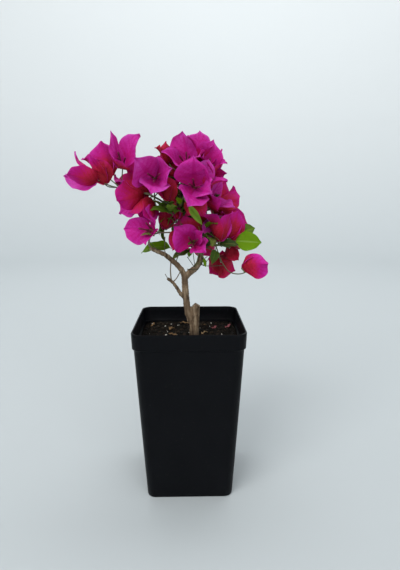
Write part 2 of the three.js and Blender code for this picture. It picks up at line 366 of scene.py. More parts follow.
def leaf_materials():
    return grained_materials(
        "leaf_{}", LEAF_COLOURS, 0.55, (700, 3), (0.0004, 0.4), Specular_IOR_Level=0.1,
        Subsurface_Weight=0.15, Subsurface_Scale=0.0008, Subsurface_Radius=(0.4, 1.0, 0.2),
    )


STEM_COLOURS = [
    (0.150, 0.118, 0.082),
    (0.085, 0.080, 0.036),
    (0.042, 0.052, 0.024),
    (0.120, 0.150, 0.050),
    (0.170, 0.085, 0.050),
]
WOODY, OLIVE_STEM, DARK_STEM, GREEN_STEM, RUSTY = range(len(STEM_COLOURS))


def stem_materials():
    return grained_materials("stem_{}", STEM_COLOURS, 0.6, (1500, 3), (0.0002, 0.5))


FLOWER_COLOURS = [(0.110, 0.008, 0.028), (0.190, 0.014, 0.060), (0.200, 0.200, 0.060)]
TUBE_DARK, TUBE_RED, TUBE_GREEN = range(len(FLOWER_COLOURS))


def flower_materials():
    return grained_materials("flower_{}", FLOWER_COLOURS, 0.6, (2200, 3), (0.0002, 0.4))


# ---- camera, floor and light -------------

CAMERA_AT = (0.0023, -0.3757, 0.2692)
CAMERA_PAN = 1.21  # degrees to the right of +Y
CAMERA_TILT = 11.15  # degrees down
CAMERA_LENS = 25.65
# The floor's colour is the wall's paint with painted shade, darker as if less light fell there.
STAGE_SHADED_FLOOR_COLOUR = (0.52, 0.56, 0.578)
STAGE_WALL_COLOUR = (0.69, 0.72, 0.732)
STAGE_FLOOR = 1.7  # radius of the flat floor
STAGE_BEND = 0.9  # radius of the bend between floor and wall
STAGE_HEIGHT = 2.6
STAGE_BEND_STEPS = 12
STAGE_SIDES = 96


def make_camera():
    camera = new_object("camera", bpy.data.cameras.new("camera"))
    camera.data.lens = CAMERA_LENS
    camera.location = CAMERA_AT
    camera.rotation_euler = (math.radians(90 - CAMERA_TILT), 0, -math.radians(CAMERA_PAN))
    bpy.context.scene.camera = camera


def make_stage():
    """A pale round studio bowl: a flat floor that bends up into a wall on every side."""
    profile = [(0.0, 0.0), (STAGE_FLOOR, 0.0)]
    for step in range(1, STAGE_BEND_STEPS + 1):
        angle = QUARTER_TURN * step / STAGE_BEND_STEPS
        profile.append((STAGE_FLOOR + STAGE_BEND * math.sin(angle), STAGE_BEND * (1 - math.cos(angle))))
    profile.append((STAGE_FLOOR + STAGE_BEND, STAGE_HEIGHT))
    bowl = bmesh.new()
    line = [bowl.verts.new((out, 0, up)) for out, up in profile]
    for a, b in zip(line, line[1:]):
        bowl.edges.new((a, b))
    outline = bowl.verts[:] + bowl.edges[:]
    bmesh.ops.spin(bowl, geom=outline, axis=UP, steps=STAGE_SIDES, angle=2 * math.pi)
    bmesh.ops.remove_doubles(bowl, verts=bowl.verts, dist=1e-5)
    bmesh.ops.recalc_face_normals(bowl, faces=bowl.faces)
    mesh = bpy.data.meshes.new("studio")
    bowl.to_mesh(mesh)
    bowl.free()
    mesh.shade_smooth()
    mesh.materials.append(stage_material())
    studio = new_object("studio", mesh)


def stage_material():
    """Matt paint with painted shade: darker on the floor, and growing paler up the bend into the wall."""
    material, tree, shader = new_material("studio", STAGE_WALL_COLOUR, 0.9)
    rise = add_range(tree, add_height(tree, "ShaderNodeNewGeometry", "Position"), 0.0, STAGE_BEND)
    tree.links.new(add_mix(tree, rise, STAGE_SHADED_FLOOR_COLOUR, STAGE_WALL_COLOUR), shader.inputs["Base Color"])
    return material


# Each lamp: its name, where it stands, what it looks at, its size, its power and its colour.
LAMPS = [
    ("window", (-1.0, -1.4, 1.7), (0, 0, 0.2), 1.3, 28, (1.0, 0.99, 0.97)),
    ("fill", (0.7, -1.5, 0.95), (0, 0, 0.25), 1.0, 7, (0.98, 0.99, 1.0)),
    ("wall_wash", (0.1, 0.6, 2.3), (0.3, 2.6, 1.0), 1.4, 30, (1, 1, 1)),
]
DAYLIGHT_COLOUR = (0.97, 0.99, 1.0)
DAYLIGHT_STRENGTH = 0.63


def make_light():
    world = bpy.data.worlds.new("daylight")
    world.use_nodes = True
    background = world.node_tree.nodes["Background"]
    background.inputs["Color"].default_value = (*DAYLIGHT_COLOUR, 1)
    background.inputs["Strength"].default_value = DAYLIGHT_STRENGTH
    bpy.context.scene.world = world
    for name, at, aim, size, power, colour in LAMPS:
        lamp = bpy.data.lights.new(name, "AREA")
        lamp.size = size
        lamp.energy = power
        lamp.color = colour
        light = new_object(name, lamp)
        light.location = at
        light.visible_camera = False
        light.rotation_euler = (Vector(aim) - Vector(at)).to_track_quat("-Z", "Y").to_euler()
    bpy.context.scene.view_settings.view_transform = "Standard"


# ---- pot ---------------------------------

RIM_HALF, _, POT_HEIGHT = box("pot")[1]
BASE_HALF = 0.8 * RIM_HALF
BAND_FOOT = POT_HEIGHT - 14.5 * MM
BAND_DRAFT = 0.5 * MM
BAND_STEP = 1.3 * MM
BODY_TOP_HALF = RIM_HALF - BAND_DRAFT - BAND_STEP
WALL = 1.6 * MM
POT_FLOOR = 2.4 * MM
CORNER_SHARE = 0.19
CORNER_SEGMENTS = 10
SIDE_SEGMENTS = 10
EDGE_STEPS = 3
LIP_STEPS = 4
SIDE_BOW = 0.35 * MM
DRAIN_RADIUS = 5 * MM
DRAIN_AT = 25 * MM


def rounded_square(half, corner):
    """Points round a square with rounded corners, spread evenly along its straight sides."""
    flat = half - corner
    points = []
    for quarter in range(4):
        turn = quarter * QUARTER_TURN
        middle = flat_way(turn + QUARTER_TURN / 2) * flat * math.sqrt(2)
        for step in range(CORNER_SEGMENTS + 1):
            points.append(middle + corner * flat_way(turn + step / CORNER_SEGMENTS * QUARTER_TURN))
        corner_end = points[-1]
        run = 2 * flat * flat_way(turn + 2 * QUARTER_TURN)
        for step in range(1, SIDE_SEGMENTS):
            points.append(corner_end + run * step / SIDE_SEGMENTS)
    return np.array(points)


def body_half(height):
    return BASE_HALF + (BODY_TOP_HALF - BASE_HALF) * height / BAND_FOOT


def pot_profile():
    """(height, half width) down the middle of a side, from the underside round to the inner floor."""
    edge = 1.2 * MM
    lip = 0.75 * MM
    line = [(0, BASE_HALF - edge)]
    for step in range(1, EDGE_STEPS + 1):
        angle = QUARTER_TURN * step / EDGE_STEPS
        line.append((edge * (1 - math.cos(angle)), BASE_HALF - edge + edge * math.sin(angle)))
    for share in np.linspace(0.04, 0.985, 22):
        height = share * BAND_FOOT
        line.append((height, body_half(height)))
    band = RIM_HALF - BAND_DRAFT
    line += [
        (BAND_FOOT - 0.9 * MM, BODY_TOP_HALF + 0.05 * MM),
        (BAND_FOOT - 0.3 * MM, BODY_TOP_HALF + 0.35 * MM),
        (BAND_FOOT, band - 0.35 * MM),
        (BAND_FOOT + 0.4 * MM, band),
    ]
    for share in (0.2, 0.4, 0.6, 0.8):
        line.append((BAND_FOOT + share * (POT_HEIGHT - BAND_FOOT), band + share * BAND_DRAFT))
    for step in range(LIP_STEPS + 1):
        angle = math.pi * step / LIP_STEPS
        line.append((POT_HEIGHT - lip + lip * math.sin(angle), RIM_HALF - lip + lip * math.cos(angle)))
    inner = RIM_HALF - 2 * lip
    line += [
        (POT_HEIGHT - 5 * MM, inner - 0.15 * MM),
        (BAND_FOOT + 1.2 * MM, inner - 0.35 * MM),
        (BAND_FOOT + 0.3 * MM, inner - 0.8 * MM),
        (BAND_FOOT - 0.4 * MM, BODY_TOP_HALF - WALL),
    ]
    for share in (0.8, 0.55, 0.3, 0.1):
        line.append((share * BAND_FOOT, body_half(share * BAND_FOOT) - WALL))
    line.append((POT_FLOOR, body_half(POT_FLOOR) - WALL))
    return line


def make_pot():
    rings = []
    for height, half in pot_profile():
        ring = rounded_square(half, half * CORNER_SHARE)
        bow = SIDE_BOW * math.sin(math.pi * min(1, height / BAND_FOOT))
        away = 1 - np.abs(ring / half).min(axis=1) ** 2
        ring = ring * (1 + bow * away / half)[:, None]
        rings.append(np.column_stack((ring, np.full(len(ring), height))))
    faces = [face for group in ring_faces(len(rings), len(rings[0])) for face in group.tolist()]
    mesh = bpy.data.meshes.new("nursery_pot")
    mesh.from_pydata(np.vstack(rings).tolist(), [], faces)
    mesh.materials.append(pot_material())
    piece = new_object("nursery_pot", mesh)
    for x in (-DRAIN_AT, DRAIN_AT):
        for y in (-DRAIN_AT, DRAIN_AT):
            cut_drain(piece, x, y)
    shade(piece.data, sharp_from=35)
    put(piece, "pot_plastic", "pot")


def cut_drain(piece, x, y):
    bpy.ops.mesh.primitive_cylinder_add(
        vertices=32, radius=DRAIN_RADIUS, depth=4 * POT_FLOOR, location=(x, y, 0),
    )
    cutter = bpy.context.object
    cut = piece.modifiers.new("drain", "BOOLEAN")
    cut.object = cutter
    cut.operation = "DIFFERENCE"
    cut.solver = "EXACT"
    apply_modifiers(piece)
    bpy.data.objects.remove(cutter)


def apply_modifiers(piece):
    made = bpy.data.meshes.new_from_object(piece.evaluated_get(bpy.context.evaluated_depsgraph_get()))
    piece.modifiers.clear()
    old = piece.data
    piece.data = made
    bpy.data.meshes.remove(old)
    made.name = piece.name


def pot_material():
    """Black moulded plastic: a little bluish, with a fine grain and faint rubbed and dusty places."""
    material, tree, shader = new_material("black_plastic", (0.004, 0.0045, 0.006), 0.4,
                                          Specular_IOR_Level=0.08)
    broad = add_noise(tree, 28, 4)
    streaks = add_noise(tree, 60, 3, (1, 1, 0.12))
    dust = add_range(tree, add_noise(tree, 420, 5), 0.62, 0.78, 0.0, 0.55)
    clean = add_mix(tree, broad, (0.0020, 0.0024, 0.0036), (0.0038, 0.0042, 0.0056))
    tree.links.new(add_mix(tree, dust, clean, (0.016, 0.0145, 0.013)), shader.inputs["Base Color"])
    tree.links.new(add_range(tree, streaks, 0.3, 0.75, 0.34, 0.50), shader.inputs["Roughness"])
    add_bump(tree, shader, add_noise(tree, 2600, 2), 0.0002, 0.25)
    return material


# ---- soil --------------------------------

SOIL_TOP = 146 * MM
SOIL_CELLS = 110
SOIL_RELIEF = 2.0 * MM
CORNER_PINCH = 0.085
STEM_AT = np.array((4.4, 0.0)) * MM
STEM_CLEARANCE = 8 * MM
GAP = 0.3 * MM  # between the soil and the pot
SOIL_HALF = body_half(SOIL_TOP) - WALL - GAP
GRAIN_FLATNESS = 0.7
CHIP_ROWS = 9
CHIP_COLUMNS = 4
CHIP_THICKNESS = 0.3 * MM
CHIP_LIFT = 0.5 * MM


def soil_height(x, y):
    """How far the soil's surface stands above its level at a point."""
    rolling = 0.7 * noise.noise(Vector((x * 55, y * 55, 3)))
    lumps = 0.8 * noise.noise(Vector((x * 190, y * 190, 11)))
    crumbs = 0.45 * abs(noise.noise(Vector((x * 520, y * 520, 5))))
    return SOIL_RELIEF * (rolling + lumps + crumbs - 0.1)


def make_soil():
    """A closed block of soil with a lumpy top, inside the pot."""
    side = np.linspace(-1, 1, SOIL_CELLS + 1)
    points = []
    for height, relief in ((SOIL_TOP, 1), (POT_FLOOR + GAP, 0)):
        half = body_half(height) - WALL - GAP
        for v in side:
            for u in side:
                x, y = fit_corner(u, v, half)
                inside = max(abs(u), abs(v)) < 1
                points.append((x, y, height + relief * inside * soil_height(x, y)))
    block = Patchwork([soil_material()])
    block.add(points, [faces[:, ::-1] for faces in shell_faces(SOIL_CELLS, SOIL_CELLS)], 0)
    block.make("potting_mix", "potting_soil", "soil", sharp_from=60)


def fit_corner(u, v, half):
    """Bends a square's corner in, so that a grid fits the pot's rounded corners."""
    pinch = 1 - CORNER_PINCH * (u * v) ** 6
    return u * half * pinch, v * half * pinch


def soil_material():
    material, tree, shader = new_material(
        "potting_mix", (0.004, 0.003, 0.002), 0.95, Specular_IOR_Level=0.1,
    )
    fibres = add_noise(tree, 900, 6)
    patches = add_noise(tree, 160, 4)
    peat = add_ramp(tree, fibres, [(0.3, (0.0012, 0.0009, 0.0007)), (0.52, (0.0035, 0.0026, 0.0018)),
                                   (0.68, (0.018, 0.012, 0.007))])
    tree.links.new(add_mix(tree, add_range(tree, patches, 0.4, 0.7, 0, 0.6), peat, (0.006, 0.0042, 0.0026)),
                   shader.inputs["Base Color"])
    add_bump(tree, shader, fibres, 0.0012, 0.8)
    return material


def soil_point(random, margin=0.9):
    """A point on the soil's surface, clear of the stem."""
    while True:
        x, y = (random.random(2) * 2 - 1) * SOIL_HALF * margin
        if math.hypot(x - STEM_AT[0], y - STEM_AT[1]) > STEM_CLEARANCE:
            return np.array((x, y, SOIL_TOP + soil_height(x, y)))


@lru_cache(maxsize=None)
def ball():
    """Points and faces of a small round ball of unit radius."""
    made = bmesh.new()
    bmesh.ops.create_icosphere(made, subdivisions=2, radius=1)
    points = np.array([vertex.co for vertex in made.verts])
    faces = np.array([[vertex.index for vertex in face.verts] for face in made.faces])
    made.free()
    return points, faces


def add_grain(pieces, random, at, size, mark):
    """An angular crumb: a dented ball, a little flat."""
    points, faces = ball()
    dents = sum(
        0.16 * np.sin(points @ unit(random.normal(size=3)) * random.uniform(2, 5) + random.uniform(0, 6))
        for _ in range(4)
    )
    shape = points * (1 + dents)[:, None] * size * random.uniform(0.7, 1.2, 3) * (1, 1, GRAIN_FLATNESS)
    spin = np.stack((*turned(RIGHT, BACK, random.uniform(0, 2 * np.pi)), UP))
    pieces.add(shape @ spin + at, [faces], mark)


def add_chip(pieces, random, at, length, mark):
    """A dry curled scrap of leaf or bark that lies on the soil."""
    t, u = grid_lines(CHIP_ROWS, CHIP_COLUMNS)
    width = length * random.uniform(0.12, 0.24)
    torn = random.uniform(0.45, 1.0, CHIP_ROWS + 1)
    half = width * torn * (np.sin(np.pi * np.clip(t, 0.06, 0.94)) ** 0.6 + 0.05)
    curl = random.uniform(0.5, 1.6)
    bend = random.uniform(-0.3, 0.3)
    half, t = half[:, None], t[:, None]
    buckle = 0.12 * length * np.sin(2.2 * np.pi * t) ** 2
    grid = np.stack(np.broadcast_arrays(
        (t - 0.5) * length,
        half * u + bend * length * np.sin(np.pi * t),
        0.6 * curl * half * np.abs(u) ** 1.5 + buckle,
    ), axis=2)
    first, second = turned(RIGHT, BACK, random.uniform(0, 2 * np.pi))
    first = first + random.uniform(-0.3, 0.3) * UP
    ways = np.stack((unit(first), second, unit(np.cross(first, second))))
    pieces.add_shell(grid @ ways + at + CHIP_LIFT * UP, CHIP_THICKNESS, mark)


SCRAP_COLOURS = [
    (0.004, 0.003, 0.002), (0.019, 0.012, 0.007), (0.210, 0.125, 0.060), (0.380, 0.260, 0.140),
    (0.620, 0.600, 0.540), (0.230, 0.070, 0.080),
]
CRUMB, BARK_BIT, TAN, STRAW, PERLITE, FADED = range(len(SCRAP_COLOURS))
CRUMBS = 640
PERLITE_GRAINS = 38
SMALL_SCRAPS = 26
LARGE_SCRAPS = 13


def make_soil_cover():
    """Crumbs, perlite grains and dry scraps that lie on the soil."""
    finishes = grained_materials(
        "scrap_{}", SCRAP_COLOURS, 0.9, (1800, 4), (0.0004, 0.7), Specular_IOR_Level=0.2,
    )
    random = seeded("soil cover")
    crumbs = Patchwork(finishes)
    for _ in range(CRUMBS):
        size = random.uniform(0.4, 1.9) * MM
        mark = BARK_BIT if random.random() < 0.4 else CRUMB
        add_grain(crumbs, random, soil_point(random, 0.96), size, mark)
    for _ in range(PERLITE_GRAINS):
        add_grain(crumbs, random, soil_point(random), random.uniform(0.35, 0.9) * MM, PERLITE)
    for _ in range(SMALL_SCRAPS):
        mark = random.choice((TAN, BARK_BIT, BARK_BIT))
        add_chip(crumbs, random, soil_point(random), random.uniform(1.5, 4) * MM, mark)
    for _ in range(LARGE_SCRAPS):
        mark = random.choice((TAN, TAN, TAN, BARK_BIT, STRAW, FADED))
        add_chip(crumbs, random, soil_point(random), random.uniform(6, 12) * MM, mark)
    crumbs.make("soil_scraps", "potting_soil")


# ---- wood --------------------------------

WOOD = ("trunk", "bough_right", "bough_upper", "bough_left", "bough_side")
LIMB_FOOT = {
    "trunk": "soil", "bough_right": "trunk", "bough_upper": "bough_right", "bough_left": "trunk",
    "bough_side": "trunk", "shoot_left": "bough_left", "stalk_far_left": "bough_upper",
    "twig_far_right": "bough_right",
}
LINE_SAMPLES = 13
VOXEL = 0.42 * MM
BARK_SWELL = 0.3 * MM
RIDGE_HEIGHT = 0.6 * MM
RING_HEIGHT = 0.26 * MM
RING_SPACING = 9.5 * MM
DAMP_HEIGHT = 9 * MM


@lru_cache(maxsize=None)
def limb_points(node):
    return np.array([vertex.co[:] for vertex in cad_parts[node].data.vertices])


@lru_cache(maxsize=None)
def limb_line(node):
    """Points down the middle of a limb, from its foot to its end."""
    points = limb_points(node)
    if LIMB_FOOT[node] == "soil":
        start = points[points[:, 2].argmin()]
    else:
        parent = limb_points(LIMB_FOOT[node])
        gaps = np.linalg.norm(points[:, None] - parent[None], axis=2).min(axis=1)
        start = points[gaps.argmin()]
    away = np.linalg.norm(points - start, axis=1)
    reach = away.max()
    line = []
    for share in np.linspace(0, 1, LINE_SAMPLES):
        weights = np.exp(-(((away - share * reach) / (0.09 * reach)) ** 2))
        line.append(weights @ points / weights.sum())
    return np.array(line)


def limb_point(node, share):
    line = limb_line(node)
    at = share * (len(line) - 1)
    low = min(int(at), len(line) - 2)
    return line[low] + (at - low) * (line[low + 1] - line[low])


def make_wood():
    """One skin over the trunk and boughs, with the relief of the bark."""
    solid = bmesh.new()
    for node in WOOD:
        part = bmesh.new()
        part.from_mesh(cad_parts[node].data)
        bmesh.ops.remove_doubles(part, verts=part.verts, dist=1e-6)
        bmesh.ops.recalc_face_normals(part, faces=part.faces)
        part.normal_update()
        for vertex in part.verts:
            vertex.co += vertex.normal * BARK_SWELL
        mesh = bpy.data.meshes.new(node)
        part.to_mesh(mesh)
        part.free()
        solid.from_mesh(mesh)
        bpy.data.meshes.remove(mesh)
    mesh = bpy.data.meshes.new("wood")
    solid.to_mesh(mesh)
    solid.free()
    wood = new_object("wood", mesh)
    remesh = wood.modifiers.new("skin", "REMESH")
    remesh.mode = "VOXEL"
    remesh.voxel_size = VOXEL
    soften = wood.modifiers.new("soften", "SMOOTH")
    soften.factor = 0.5
    soften.iterations = 7
    apply_modifiers(wood)
    raise_bark(wood.data)
    wood.data.shade_smooth()
    wood.data.materials.clear()
    wood.data.materials.append(bark_material())
    put(wood, "bark", *WOOD)


def raise_bark(mesh):
    """Moves the skin in and out: long ridges down each limb, and rings at its old nodes."""
    count = len(mesh.vertices)
    points = np.zeros(count * 3)
    mesh.vertices.foreach_get("co", points)
    points = points.reshape(-1, 3)
    normals = np.array([vertex.normal[:] for vertex in mesh.vertices])
    middles, ways, runs = [], [], []
    for number, node in enumerate(WOOD):
        line = limb_line(node)
        run = running_sum(np.linalg.norm(np.diff(line, axis=0), axis=1)) + number
        middles.append(line)
        ways.append(np.gradient(line, axis=0))
        runs.append(run)
    middles, ways, runs = np.vstack(middles), np.vstack(ways), np.concatenate(runs)
    ways /= np.linalg.norm(ways, axis=1, keepdims=True)
    near = np.linalg.norm(points[:, None] - middles[None], axis=2).argmin(axis=1)
    offset = points - middles[near]
    ahead = (offset * ways[near]).sum(axis=1)
    across = offset - ahead[:, None] * ways[near]
    along = runs[near] + ahead
    thick = np.linalg.norm(across, axis=1)
    lift = np.zeros(count)
    for index in range(count):
        ridge = Vector(across[index] * 900) + Vector((0, 0, along[index] * 95))
        fine = Vector(across[index] * 2300) + Vector((0, 0, along[index] * 420))
        lift[index] = 0.62 * noise.noise(ridge) + 0.3 * noise.noise(fine)
    rings = np.sin(along / RING_SPACING * 2 * np.pi + 1.5 * np.sin(along * 130)) ** 12
    lift = lift * np.clip(thick / (5 * MM), 0.25, 1) * RIDGE_HEIGHT + rings * RING_HEIGHT
    points += normals * lift[:, None]
    mesh.vertices.foreach_set("co", points.ravel())
    mesh.update()


def bark_material():
    """Tan to grey-brown bark, with pale long streaks, and darker and damp near the soil."""
    material, tree, shader = new_material("bark", (0.190, 0.130, 0.080), 0.85, Specular_IOR_Level=0.25)
    streaks = add_noise(tree, 420, 5, (1, 1, 0.22))
    patches = add_noise(tree, 90, 3)
    wood = add_ramp(tree, streaks, [(0.32, (0.050, 0.031, 0.018)), (0.50, (0.200, 0.136, 0.082)),
                                    (0.70, (0.380, 0.295, 0.200))])
    tinted = add_mix(tree, add_range(tree, patches, 0.42, 0.62, 0, 0.7), wood, (0.120, 0.078, 0.048))
    height = add_height(tree, "ShaderNodeTexCoord", "Object")
    damp = add_range(tree, height, SOIL_TOP + 1 * MM, SOIL_TOP + DAMP_HEIGHT, 0.8, 0.0)
    tree.links.new(add_mix(tree, damp, tinted, (0.040, 0.026, 0.016)), shader.inputs["Base Color"])
    add_bump(tree, shader, streaks, 0.0006, 0.8)
    return material


# ---- twigs -------------------------------

stems = Patchwork(stem_materials())
leaves = Patchwork(leaf_materials())


def add_stem(path, radius, end_radius, mark, sides=8):
    """A stem with a slight swelling at each end."""
    share = np.linspace(0, 1, len(path))
    swelling = 1 + 0.35 * np.exp(-share / 0.05) + 0.25 * np.exp(-(1 - share) / 0.05)
    stems.add(*tube(path, (radius + (end_radius - radius) * share) * swelling, sides), mark)


# Where the stalks of each spray spring from: its name, the limb and the share of its length
# or the hub it grows from, its heading as azimuth, elevation and reach in mm, and its stem's
# radius in mm and colour.
HUBS = [
    ("low left cyme", ("shoot_left", 0.55), (-170, 10, 2), 0.50, WOODY),
    ("inner cyme", ("bough_upper", 0.40), (200, 10, 8), 0.55, OLIVE_STEM),
    ("top cyme", ("bough_upper", 0.98), (0, 80, 12), 0.80, GREEN_STEM),
    ("top right cyme", ("bough_upper", 0.98), (10, 15, 14), 0.70, OLIVE_STEM),
    ("centre cyme", ("bough_upper", 0.90), (-70, 10, 10), 0.70, OLIVE_STEM),
    ("right cyme", ("bough_upper", 0.25), (10, 40, 30), 0.70, OLIVE_STEM),
    ("shoulder cyme", ("bough_right", 0.95), (-25, 10, 16), 0.75, OLIVE_STEM),
    ("front cyme", ("bough_right", 0.72), (-110, 15, 16), 0.60, DARK_STEM),
    ("low right cyme", ("bough_right", 0.80), (-20, 10, 16), 0.75, RUSTY),
    ("right leaf twig", ("low right cyme", 1), (0, 30, 14), 0.55, RUSTY),
    ("back top cyme", ("bough_upper", 0.85), (80, 35, 14), 0.75, OLIVE_STEM),
    ("back centre cyme", ("bough_upper", 0.50), (70, 25, 18), 0.70, OLIVE_STEM),
    ("back right cyme", ("bough_upper", 0.30), (35, 30, 22), 0.70, OLIVE_STEM),
    ("back low cyme", ("bough_right", 0.90), (70, 15, 12), 0.70, OLIVE_STEM),
]
# The long thin stems: the limb, the radius in mm at its foot and at its end, and its colour.
LONG_STEMS = [
    ("shoot_left", 0.75, 0.6, WOODY),
    ("stalk_far_left", 0.7, 0.5, OLIVE_STEM),
    ("twig_far_right", 0.6, 0.48, OLIVE_STEM),
]
# Hubs that lie on a long thin stem: the stem's node and the share of its length.
STEM_HUBS = {
    "left cyme": ("stalk_far_left", 0.30),
    "far left cyme": ("stalk_far_left", 0.70),
    "far left end": ("stalk_far_left", 0.98),
    "far right end": ("twig_far_right", 0.90),
}
hub_at = {}


def grown_from(start, heading):
    """The point at a heading of azimuth and elevation in degrees and reach in mm from a start."""
    azimuth, elevation, reach = heading
    return start + direction(azimuth, elevation) * reach * MM


def anchor(parent, share):
    """A point at a share of a limb's length, or a hub."""
    return hub_at[parent] if parent in hub_at else limb_point(parent, share)


def make_hubs():
    for name, (parent, share), heading, radius, mark in HUBS:
        random = seeded(name)
        start = anchor(parent, share)
        stop = grown_from(start, heading)
        reach = np.linalg.norm(stop - start)
        middle = (start + stop) / 2 + random.normal(0, 0.07, 3) * reach + UP * 0.06 * reach
        path = smooth_path((start, middle, stop), 8)
        add_stem(path, radius * 1.25 * MM, radius * MM, mark)
        hub_at[name] = stop


def make_green_stems():
    """The long thin stems, along the middles of their packed limbs."""
    for node, radius, end_radius, mark in LONG_STEMS:
        path = smooth_path(limb_line(node)[::2], 6)
        add_stem(path, radius * MM, end_radius * MM, mark, sides=10)
    for name, (node, share) in STEM_HUBS.items():
        hub_at[name] = limb_point(node, share)


# Bare twigs and flowerless stalks: the limb and the share of its length each grows from, the
# headings and reaches in mm of its two legs, its radius in mm and its colour.
FINE_TWIGS = [
    ("side twig upright", ("bough_side", 0.85), (120, 80, 9), (70, 82, 9), 0.75, WOODY),
    ("side twig leaning", ("bough_side", 0.80), (10, 45, 5), (5, 60, 8), 0.62, WOODY),
    ("side twig stub", ("bough_side", 0.90), (-120, 40, 3), (-160, 60, 4), 0.38, WOODY),
    ("fan stalk left", ("bough_right", 0.35), (-120, 30, 5), (170, 55, 10), 0.40, DARK_STEM),
    ("fan stalk middle", ("bough_right", 0.35), (-110, 50, 4), (130, 78, 12), 0.40, DARK_STEM),
    ("fan stalk upright", ("bough_right", 0.35), (-80, 50, 4), (30, 75, 12), 0.42, GREEN_STEM),
    ("fan stalk right", ("bough_right", 0.45), (-80, 20, 5), (-20, 40, 11), 0.40, GREEN_STEM),
    ("fan stalk level", ("bough_right", 0.35), (-70, -10, 5), (170, 0, 10), 0.36, DARK_STEM),
    ("low stalk", ("bough_right", 0.60), (-60, -45, 8), (-5, 0, 18), 0.42, DARK_STEM),
    ("low stalk up", ("bough_right", 0.60), (-50, -50, 7), (20, 50, 12), 0.38, OLIVE_STEM),
    ("left bough stalk", ("bough_left", 0.80), (-120, 40, 5), (150, 40, 10), 0.40, OLIVE_STEM),
    ("left bough twig", ("bough_left", 0.60), (120, 60, 6), (80, 80, 12), 0.50, WOODY),
]


def make_fine_twigs():
    for _, (parent, share), first, second, radius, mark in FINE_TWIGS:
        start = limb_point(parent, share)
        middle = grown_from(start, first)
        path = smooth_path((start, middle, grown_from(middle, second)), 6)
        add_stem(path, radius * MM, 0.75 * radius * MM, mark, sides=6)


# ---- leaves ------------------------------

LEAF_ROWS = 16
LEAF_COLUMNS = 10
LEAF_THICKNESS = 0.32 * MM
PETIOLE_RADIUS = 0.42 * MM
PETIOLE_END_RADIUS = 0.34 * MM
GOLDEN_ANGLE = 137.5
# The relief and sway of a leaf, as shares of its length.
LEAF_WAVE = 0.035
LEAF_QUILT = 0.006
LEAF_SWAY = 0.05


def leaf_grid(random, length, breadth, fold, droop):
    """An ovate blade with a drawn-out tip, along +X with its upper side to +Z."""
    t, u = grid_lines(LEAF_ROWS, LEAF_COLUMNS)
    u = np.sign(u) * np.abs(u) ** 1.5
    slope = np.radians(droop) * (t ** 1.2) + random.normal(0, 0.05)
    step = length / LEAF_ROWS
    x = running_sum(np.cos(slope[1:])) * step
    z = -running_sum(np.sin(slope[1:])) * step
    half = np.clip(t, 0.01, 1) ** 0.62 * np.clip(1 - t, 0.012, 1) ** 0.85
    half = half / half.max() * (1 - 0.25 * smooth_step(0.8, 0.95, t)) * breadth / 2 * length
    spread = half[:, None] * u
    angle = math.radians(fold)
    ripple = np.sin(2 * np.pi * (2 * t[:, None] + random.random()) + 1.5 * u)
    wave = LEAF_WAVE * length * np.abs(u) ** 2 * ripple
    quilt = LEAF_QUILT * length * np.cos(2 * np.pi * (5 * (t[:, None] - 0.3 * np.abs(u)))) * np.abs(u) ** 0.5
    sway = LEAF_SWAY * length * random.normal() * t ** 2
    return np.stack(np.broadcast_arrays(
        x[:, None],
        spread * math.cos(angle) + sway[:, None],
        z[:, None] + np.abs(spread) * math.sin(angle) + wave + quilt,
    ), axis=2)


def add_leaf(random, node, way, length, mark, fold, droop, breadth=0.62, roll=0.0, top=UP):
    """A leaf on a short stalk from a node, its upper side turned towards `top` and then rolled."""
    base = node + way * length * random.uniform(0.16, 0.28)
    stalk = arc(node, unit(way + 0.4 * UP), base, way, 5)
    add_stem(stalk, PETIOLE_RADIUS, PETIOLE_END_RADIUS, GREEN_STEM, sides=6)
    lift = unit(top - (top @ way) * way)
    side, lift = turned(np.cross(lift, way), lift, math.radians(roll))
    grid = leaf_grid(random, length, breadth, fold, droop) @ np.stack((way, side, lift)) + base
    paler = {LIME: PALE, BRIGHT: LIME, MID: BRIGHT, DARK: OLIVE, OLIVE: PALE, PALE: PALE}[mark]
    face = np.full((LEAF_ROWS, LEAF_COLUMNS), mark)
    face[:, LEAF_COLUMNS // 2 - 1:LEAF_COLUMNS // 2 + 1] = paler
    under_and_rim = sum(map(len, shell_faces(LEAF_ROWS, LEAF_COLUMNS)[1:]))
    leaves.add_shell(grid, LEAF_THICKNESS, np.append(face, np.full(under_and_rim, paler)))


def grow_twig(random, start, way, length, order):
    """Grows a leafy twig, and from it shorter ones, each turned from the last by the golden angle."""
    way = unit(way)
    bend = unit(way + 0.35 * UP + random.normal(0, 0.2, 3))
    end = start + unit(way + bend) * length
    path = arc(start, way, end, bend, 8)
    thick = (0.42 + 0.16 * order) * MM
    add_stem(path, thick, 0.7 * thick, OLIVE_STEM if order else GREEN_STEM, sides=6)
    side = unit(np.cross(way, UP + 0.01))
    other = np.cross(way, side)
    turn = random.uniform(0, 2 * np.pi)
    nodes = 3 + 2 * order
    for number in range(nodes):
        turn += math.radians(GOLDEN_ANGLE)
        at = path[int((0.3 + 0.7 * (number + 1) / nodes) * (len(path) - 1))]
        out, _ = turned(side, other, turn)
        leaf_way = unit(out + 0.6 * bend + 0.25 * UP)
        if order and number % 2 == 0:
            grow_twig(random, at, unit(out + bend), length * 0.55, order - 1)
        else:
            size = random.uniform(9, 20) * MM
            mark = random.choice((MID, MID, DARK, BRIGHT, OLIVE))
            fold = random.uniform(8, 30)
            droop = random.uniform(10, 55)
            add_leaf(random, at, leaf_way, size, mark, fold, droop, roll=random.normal(0, 15))


